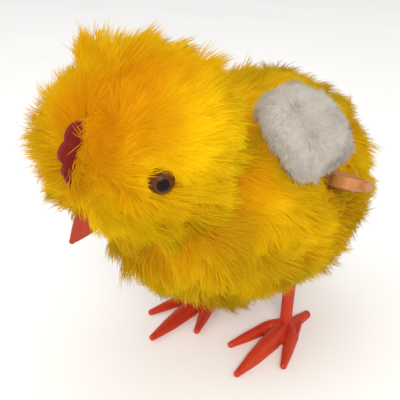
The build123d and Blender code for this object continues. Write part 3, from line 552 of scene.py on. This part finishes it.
def body_cloth(places):
    stem_hole = 3.2 * MM
    return (places[:, 2] > rim_height(places[:, 1])) & (from_key_stem(places) >= stem_hole)


def head_cloth(places):
    return BODY_SKIN.depth(places) > 0.96


# ---- yellow plush ----
YELLOW_PILE = pile("yellow_pile", sheen=0.0)
WHITE_PILE = pile("white_pile", sheen=0.2)
YELLOW_BACKING = backing("yellow_backing", (0.85, 0.40, 0.01), (0.62, 0.25, 0.006))
WHITE_BACKING = backing("white_backing", (0.56, 0.50, 0.43), (0.48, 0.42, 0.36))

# Root colours are darker and deeper orange than the tips: painted shade deep in the pile.
SHADED_ROOT_ORANGE = np.array([0.62, 0.215, 0.0008])
SHADED_ROOT_GOLD = np.array([0.70, 0.31, 0.001])
TIP_YELLOW = np.array([0.73, 0.43, 0.001])
TIP_PALE = np.array([0.90, 0.62, 0.004])
# Colours of painted shade: deep orange for the crease at the neck and the crown, olive for the lower and rear
# body and the sides of the head.
ORANGE_SHADE = np.array([0.55, 0.18, 0.0004])
OLIVE_SHADE = np.array([0.33, 0.20, 0.005])

PILE_LENGTH = 10.5 * MM
YELLOW_STYLE = {
    "length": PILE_LENGTH,
    "uneven": 0.20,
    "stray": 0.26,
    "undercoat": 0.35,
    "root": (SHADED_ROOT_ORANGE, SHADED_ROOT_GOLD),
    "tip": (TIP_YELLOW, TIP_PALE),
}
BODY_STRANDS = 92000
HEAD_STRANDS = 66000
BLOTCH = 0.7                         # strength of the random blotches of colour


def body_fur():
    """Long pile that falls back from the neck, with painted shade towards the rear, near the rim and at the
    neck.
    """
    rng = np.random.default_rng(11)
    place, normal = BODY_SKIN.points(int(BODY_STRANDS * STRAND_SHARE), rng)
    keep = place[:, 2] > rim_height(place[:, 1])
    keep &= HEAD_SKIN.depth(place) > 0.98
    keep &= from_key_stem(place) >= 3.6 * MM
    place, normal = place[keep], normal[keep]
    neck = unit(place - HEAD_CENTRE)
    back = np.array([0.0, 0.75, -0.45])
    swirl = wander(place, seed=5, wavelength=16 * MM)
    flow = unit(tangent_part(neck * 0.7 + back + swirl * 0.75, normal))

    low = ramp_up(rim_height(place[:, 1]) + 14 * MM - place[:, 2], 0, 14 * MM)
    rear = ramp_up(place[:, 1] - BASE[1], 5 * MM, 36 * MM)
    top = ramp_up(place[:, 2] - BODY_CENTRE[2], 14 * MM, 26 * MM)
    uneven = drift(place, seed=6, wavelength=11 * MM)
    key_room = 0.38 + 0.62 * ramp_up(from_key_stem(place), 7 * MM, 15 * MM)
    head_depth = HEAD_SKIN.depth(place)
    head_room = 0.5 + 0.5 * ramp_up(head_depth, 1.1, 1.55)
    # Painted shade: deep orange in the crease where the body meets the head.
    neck_crease_shade = 1 - ramp_up(head_depth, 1.0, 1.6)
    blotch = np.clip(drift(place, seed=7, wavelength=20 * MM) * BLOTCH, -0.4, 1)
    # Painted shade: olive over all of the body, stronger near the rim, towards the rear and on top of the
    # rear; random blotches add to it.
    olive_shade_and_blotch = np.clip(0.34 + 0.35 * low + 0.40 * rear + 0.40 * top * rear + 0.5 * blotch, 0, 0.95)
    style = {
        **YELLOW_STYLE,
        "scale": (1 - 0.10 * low - 0.10 * low * rear + 0.14 * uneven) * key_room * head_room,
        "lift": 0.42 + 0.06 * uneven,
        "droop": 0.12,
        "clumps": [(11000, 0.5, 0.10), (3000, 0.45, 0.20), (800, 0.18, 0.15)],
        "patches": [(neck_crease_shade, ORANGE_SHADE, 0.75), (olive_shade_and_blotch, OLIVE_SHADE, 0.62)],
        "width": 0.25 * MM * WIDEN,
        "keep_out": BODY_PILE_FLOOR,
    }
    grow("body_pile", place, normal, flow, style, rng, YELLOW_PILE)


def short_before_eyes(place, flow, length, rng):
    """How much of their length strands keep so that few of them cross an eye, more of them from above."""
    keep = np.ones(len(place))
    for direction in EYE_DIRS.values():
        way = HEAD_CENTRE + direction * HEAD_SKIN_RADIUS - place
        distance = np.linalg.norm(way, axis=1)
        towards = np.sum(unit(way) * flow, axis=1)
        room = np.clip(distance - 0.4 * MM, 2.2 * MM, None) / length
        free = rng.random(len(place)) < np.where(way[:, 2] < -1 * MM, 0.30, 0.04)
        held = (towards > 0.3) & (distance < length + 4 * MM) & ~free
        keep = np.where(held, np.minimum(keep, room), keep)
        keep = np.where(distance < 6 * MM, np.minimum(keep, 0.85), keep)
    return keep


def head_fur():
    """Long pile that parts at the comb and runs to the back of the head, with a ruff on its far side."""
    rng = np.random.default_rng(23)
    eye_clear = math.cos(math.radians(6.6))
    beak_clear = math.cos(math.radians(11))
    place, normal = HEAD_SKIN.points(int(HEAD_STRANDS * STRAND_SHARE), rng)
    keep = BODY_SKIN.depth(place) > 1.0
    for direction in EYE_DIRS.values():
        keep &= np.sum(normal * direction, axis=1) < eye_clear
    keep &= np.sum(normal * BEAK_DIR, axis=1) < beak_clear
    place, normal = place[keep], normal[keep]
    sideways = np.sum(normal * HEAD_LEFT, axis=1)
    side = np.tanh(sideways / 0.06)
    comb_near = 1 - ramp_up(np.degrees(np.arccos(np.clip(normal @ COMB_DIR, -1, 1))), 12, 34)
    swirl = wander(place, seed=15, wavelength=15 * MM)
    away = -COMB_DIR * (1 - 0.8 * comb_near[:, None]) + HEAD_LEFT * (side * comb_near)[:, None] * 1.1
    flow = unit(tangent_part(away + swirl * 0.34, normal))

    uneven = drift(place, seed=16, wavelength=10 * MM)
    far_side = ramp_up(-sideways, -0.05, 0.25)
    ruff = far_side * ramp_up(-sideways, 0.10, 0.35) * ramp_up(normal[:, 2], -0.25, 0.15)
    behind = ramp_up(-(normal @ COMB_DIR), 0.25, 0.75)
    corner = facing(normal, (-0.78, -0.20, 0.60), 14)
    top_tuft = facing(normal, (-0.59, 0.04, 0.80), 18)
    nape = facing(normal, (0.23, 0.59, 0.77), 14)
    parting = comb_near * (1 - far_side)
    scale = 1 + 0.12 * uneven + 0.05 * far_side + 0.15 * ruff - 0.42 * parting - 0.22 * behind
    scale += 0.26 * corner - 0.22 * top_tuft - 0.30 * nape
    scale *= short_before_eyes(place, flow, PILE_LENGTH, rng)

    # Painted shade: deeper orange on the crown.
    shaded_crown = facing(normal, COMB_DIR + HEAD_LEFT * 0.55 + (0, 0, 0.75), 6)
    # Painted highlight: paler yellow on the lit cheek.
    lit_cheek = facing(normal, (0.88, -0.30, 0.25), 4)
    # Painted shade: olive towards both sides of the head, away from the cheek.
    rim = ramp_up(np.abs(sideways), 0.55, 0.95) * (1 - lit_cheek)
    blotch = np.clip(drift(place, seed=17, wavelength=20 * MM) * BLOTCH, 0, 1)
    # Painted shade: deep orange on the crown and in the parting, with random blotches mixed in.
    orange = np.clip(shaded_crown * 1.15 + blotch * 0.30 + parting * 0.5, 0, 1) * (1 - 0.8 * lit_cheek)
    style = {
        **YELLOW_STYLE,
        "scale": scale,
        "lift": 0.45 + 0.06 * uneven + 0.08 * comb_near + 0.06 * ruff,
        "droop": 0.08,
        "clumps": [(8000, 0.5, 0.10), (2100, 0.45, 0.20), (560, 0.18, 0.15)],
        "patches": [(lit_cheek * 0.8, TIP_PALE, 0.8), (rim * 0.25, OLIVE_SHADE, 0.5), (orange, ORANGE_SHADE, 0.85)],
        "width": 0.24 * MM * WIDEN,
    }
    grow("head_pile", place, normal, flow, style, rng, YELLOW_PILE)


# ---- white wings ----
WING_PLACE = (24.6, -16.6, 73.2)     # middle of the left wing, in mm from BASE
WING_OUT = (0.667, -0.194, 0.719)    # the way its face points
WING_DOWN = (0.684, -0.252, -0.702)  # the way it hangs
WING_STRANDS = 28000


class Flap:
    """A stuffed flap: a rounded outline with two fuller corners, thin at its edge.

    Its local x runs down the wing, y across it and z outwards."""

    middle = np.array([0.5, 2.0]) * MM
    half_thickness = 3.4 * MM
    radius = 11.3 * MM
    corners = ((-132, 2.0 * MM), (-42, 3.8 * MM))      # direction in degrees, and how far it stands out
    corner_width = 0.42
    dent = 0.45                      # share of the outer side's thickness lost in its middle
    dent_radius = 0.45
    edge_power = 2.4
    outer_share = 0.7                # of the strands

    def edge(self, angle):
        """Distance of the outline from the middle in this direction."""
        distance = self.radius
        for direction, extra in self.corners:
            off = np.angle(np.exp(1j * (angle - math.radians(direction))))
            distance = distance + extra * np.exp(-(off / self.corner_width) ** 2)
        return distance

    def place(self, angle, part, sign):
        """part goes from 0 in the middle to 1 on the outline."""
        out = self.edge(angle) * part
        dent = np.where(np.asarray(sign) > 0, self.dent * np.exp(-((part / self.dent_radius) ** 2)), 0.0)
        high = self.half_thickness * np.sqrt(np.maximum(1 - part ** self.edge_power, 0)) * (1 - dent)
        x = self.middle[0] + out * np.cos(angle)
        y = self.middle[1] + out * np.sin(angle)
        return np.stack([x, y, sign * high], axis=-1)

    def points(self, count, rng):
        """Points spread over both sides, and their outward normals."""
        angle = rng.uniform(0, 2 * math.pi, count)
        part = np.sqrt(rng.random(count))
        sign = np.where(rng.random(count) < self.outer_share, 1.0, -1.0)
        here = self.place(angle, part, sign)
        lean = np.clip(part, 0, 0.97)[:, None] ** 3
        flat = np.stack([np.cos(angle), np.sin(angle), np.zeros(count)], axis=-1)
        up = np.stack([np.zeros(count), np.zeros(count), sign], axis=-1)
        return here, unit(up * (1 - lean) + flat * lean)

    def skin(self):
        """Vertices and faces of the closed flap."""
        turns, rings = 72, 14
        angle = 2 * math.pi * np.arange(turns) / turns
        verts = [self.place(0.0, 0.0, 1.0)[None], self.place(0.0, 0.0, -1.0)[None]]
        faces = []
        for level, sign in enumerate((1.0, -1.0)):
            base = 2 + level * rings * turns
            for k in range(rings):
                part = math.sin(math.pi / 2 * (k + 1) / rings)
                verts.append(self.place(angle, np.full(turns, part), sign))
            for j in range(turns):
                n = (j + 1) % turns
                fan = [level, base + j, base + n]
                faces.append(fan if sign > 0 else fan[::-1])
                for k in range(rings - 1):
                    a, b = base + k * turns, base + (k + 1) * turns
                    quad = [a + j, b + j, b + n, a + n]
                    faces.append(quad if sign > 0 else quad[::-1])
        return np.concatenate(verts), faces


def wing_parts(side):
    """A short-pile wing flap lying on the shoulder."""
    rng = np.random.default_rng(31 if side == "left" else 37)
    sign = 1 if side == "left" else -1
    mirror = np.array([sign, 1, 1])
    out = unit(mirror * WING_OUT)
    down = unit(tangent_part(mirror * WING_DOWN, out))
    across = np.cross(out, down) * sign
    turn = np.stack([down, across, out], axis=1)
    centre = BASE + mirror * WING_PLACE * MM
    flap = Flap()

    verts, faces = flap.skin()
    if sign < 0:
        faces = [face[::-1] for face in faces]
    verts = centre + verts @ turn.T
    skin = skin_object(f"wing_{side}_skin", verts, faces, 0.6 * MM, WHITE_BACKING)
    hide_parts("wing_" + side)

    local, normal = flap.points(int(WING_STRANDS * STRAND_SHARE), rng)
    swirl = wander(local, seed=41, wavelength=12 * MM)
    outwards = unit(local * (1, 1, 0) - np.array([*flap.middle, 0]))
    flow = unit(tangent_part(np.array([0.9, 0.0, 0.0]) + outwards * 0.5 + swirl * 0.7, normal))
    style = {
        "length": 3.3 * MM,
        "uneven": 0.30,
        "stray": 0.6,
        "lift": 0.45,
        "droop": 0.0,
        "undercoat": 0.4,
        "clumps": [(5000, 0.4, 0.2), (900, 0.35, 0.3)],
        # Roots much darker than the tips: painted shade deep in the white pile.
        "root": (np.array([0.36, 0.30, 0.245]), np.array([0.42, 0.36, 0.30])),
        "tip": (np.array([0.58, 0.54, 0.49]), np.array([0.68, 0.645, 0.60])),
        "width": 0.14 * MM * WIDEN,
    }
    place = centre + local @ turn.T
    grow(f"wing_{side}_pile", place, normal @ turn.T, flow @ turn.T, style, rng, WHITE_PILE)


def soft_parts():
    body_skin = egg_shell("body_skin", BODY_SKIN, 1.0 * MM, body_cloth, YELLOW_BACKING)
    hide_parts("fur_body")
    head_skin = egg_shell("head_skin", HEAD_SKIN, 0.8 * MM, head_cloth, YELLOW_BACKING)
    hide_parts("fur_head")
    body_fur()
    head_fur()
    wing_parts("left")
    wing_parts("right")


# ---- hard parts ----
PEACH = plastic("peach_plastic_look", (0.47, 0.185, 0.050), (0.39, 0.145, 0.038), (0.53, 0.22, 0.07))
ORANGE = plastic("orange_plastic_look", (0.56, 0.036, 0.009), (0.47, 0.026, 0.007), (0.60, 0.050, 0.013))
# The beak is the legs' orange plastic made darker: painted shade from the head above it.
SHADED_BEAK_ORANGE = plastic("beak_shaded_plastic_look", (0.40, 0.036, 0.009), (0.33, 0.026, 0.007), (0.44, 0.050, 0.013))
CRIMSON = felt("crimson_felt_look", (0.22, 0.010, 0.012), (0.14, 0.006, 0.007))
STEEL = metal("steel_look", (0.60, 0.61, 0.63), (0.42, 0.43, 0.45))
TIN = metal("tinplate_look", (0.68, 0.69, 0.70), (0.50, 0.51, 0.53), roughness=0.38, grain=120.0)
BLUED = metal("spring_steel_look", (0.22, 0.25, 0.32), (0.12, 0.13, 0.18), roughness=0.3)
BRASS = metal("brass_look", (0.78, 0.56, 0.20), (0.58, 0.38, 0.12), roughness=0.3)
WASHER = plastic("washer_look", (0.72, 0.72, 0.70), (0.64, 0.64, 0.62), (0.80, 0.80, 0.78), roughness=0.5)
WADDING = felt("wadding_look", (0.80, 0.79, 0.76), (0.62, 0.61, 0.58))


def dress(names, material):
    """Give these CAD nodes a material."""
    for name in names:
        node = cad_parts[name]
        if not node.material_slots:
            node.data.materials.append(material)
        for place in node.material_slots:
            place.material = material


def hard_parts():
    dress(["bottom_pan", "top_shell", "winding_key"], PEACH)
    dress(["leg_left", "leg_right"], ORANGE)
    dress(["beak"], SHADED_BEAK_ORANGE)
    dress(["comb"], CRIMSON)
    for side in ("left", "right"):
        dress(["eye_" + side], eye_look(side))
    dress(["eye_washers"], WASHER)
    dress(["head_stuffing"], WADDING)
    dress(["frame_plate_left", "frame_plate_right", "rocker_arm"], TIN)
    dress(["mainspring", "return_spring"], BLUED)
    dress(["great_wheel", "crank_pinion", "drive_wheel"], BRASS)
    dress(["governor_pinion", "escape_wheel", "pallet_lever"], BRASS)
    dress(["pan_screws", "frame_pillars", "frame_screws", "spring_stud"], STEEL)
    dress(["winding_arbor", "ratchet_wheel", "click_pin", "click"], STEEL)
    dress(["crank_shaft", "hop_cam", "governor_shaft", "pallet_arbor", "hip_shaft"], STEEL)


# ---- floor, light and camera ----
FLOOR_RADIUS = 8.0
FLOOR_CORNERS = 96
LIGHT_TARGET = Vector((0, 0, 0.05))
CAMERA_AZIMUTH = math.radians(34.6)
CAMERA_ELEVATION = math.radians(24.8)
CAMERA_TARGET = Vector(BASE) + Vector((-0.0154, -0.0026, 0.0377))
CAMERA_DISTANCE = 0.220
CAMERA_LENS = 63.36                  # mm, on a sensor 36 mm wide


def paper_floor():
    """A plain pale disc of paper, far wider than the toy."""
    material, nodes, links, shader = new_material("paper_floor")
    slow = noise(nodes, links, scale=12.0, detail=3.0)
    tone = ramp(nodes, links, slow, [(0.3, (0.94, 0.94, 0.94)), (0.7, (0.97, 0.97, 0.97))])
    links.new(tone, shader.inputs["Base Color"])
    shader.inputs["Roughness"].default_value = 0.9
    mesh = bpy.data.meshes.new("floor")
    angles = [2 * math.pi * k / FLOOR_CORNERS for k in range(FLOOR_CORNERS)]
    rim = [(FLOOR_RADIUS * math.cos(angle), FLOOR_RADIUS * math.sin(angle), 0) for angle in angles]
    mesh.from_pydata(rim, [], [list(range(FLOOR_CORNERS))])
    mesh.materials.append(material)
    floor = bpy.data.objects.new("floor", mesh)
    bpy.context.scene.collection.objects.link(floor)


def sky():
    """Even studio light, stronger from above."""
    world = bpy.data.worlds.new("studio")
    world.use_nodes = True
    nodes, links = world.node_tree.nodes, world.node_tree.links
    coords = nodes.new("ShaderNodeTexCoord")
    parts = nodes.new("ShaderNodeSeparateXYZ")
    links.new(coords.outputs["Generated"], parts.inputs[0])
    shade = ramp(nodes, links, parts.outputs["Z"], [(0.0, (0.62, 0.61, 0.60)), (0.9, (1.0, 0.99, 0.97))])
    links.new(shade, nodes["Background"].inputs["Color"])
    nodes["Background"].inputs["Strength"].default_value = 0.84
    bpy.context.scene.world = world


def area_light(name, place, size, power, colour):
    light = bpy.data.lights.new(name, "AREA")
    light.shape = "DISK"
    light.size = size
    light.energy = power
    light.color = colour
    lamp = bpy.data.objects.new(name, light)
    lamp.location = place
    lamp.rotation_euler = (LIGHT_TARGET - Vector(place)).to_track_quat("-Z", "Y").to_euler()
    bpy.context.scene.collection.objects.link(lamp)


def studio():
    paper_floor()
    sky()
    area_light("key_light", (0.42, -0.60, 0.55), size=0.45, power=4.9, colour=(1.0, 0.98, 0.94))
    area_light("fill_light", (-0.60, -0.40, 0.50), size=0.6, power=0.9, colour=(0.95, 0.97, 1.0))
    area_light("top_light", (0.0, 0.20, 0.9), size=0.5, power=0.8, colour=(1.0, 1.0, 1.0))
    bpy.context.scene.view_settings.view_transform = "Standard"


def camera():
    data = bpy.data.cameras.new("camera")
    data.lens = CAMERA_LENS
    data.sensor_width = 36.0
    data.clip_start = 0.005
    data.clip_end = 20.0
    view = bpy.data.objects.new("camera", data)
    away = Vector((
        math.sin(CAMERA_AZIMUTH) * math.cos(CAMERA_ELEVATION),
        -math.cos(CAMERA_AZIMUTH) * math.cos(CAMERA_ELEVATION),
        math.sin(CAMERA_ELEVATION),
    ))
    view.location = CAMERA_TARGET + away * CAMERA_DISTANCE
    view.rotation_euler = (-away).to_track_quat("-Z", "Y").to_euler()
    bpy.context.scene.collection.objects.link(view)
    bpy.context.scene.camera = view


camera()
studio()
hard_parts()
soft_parts()
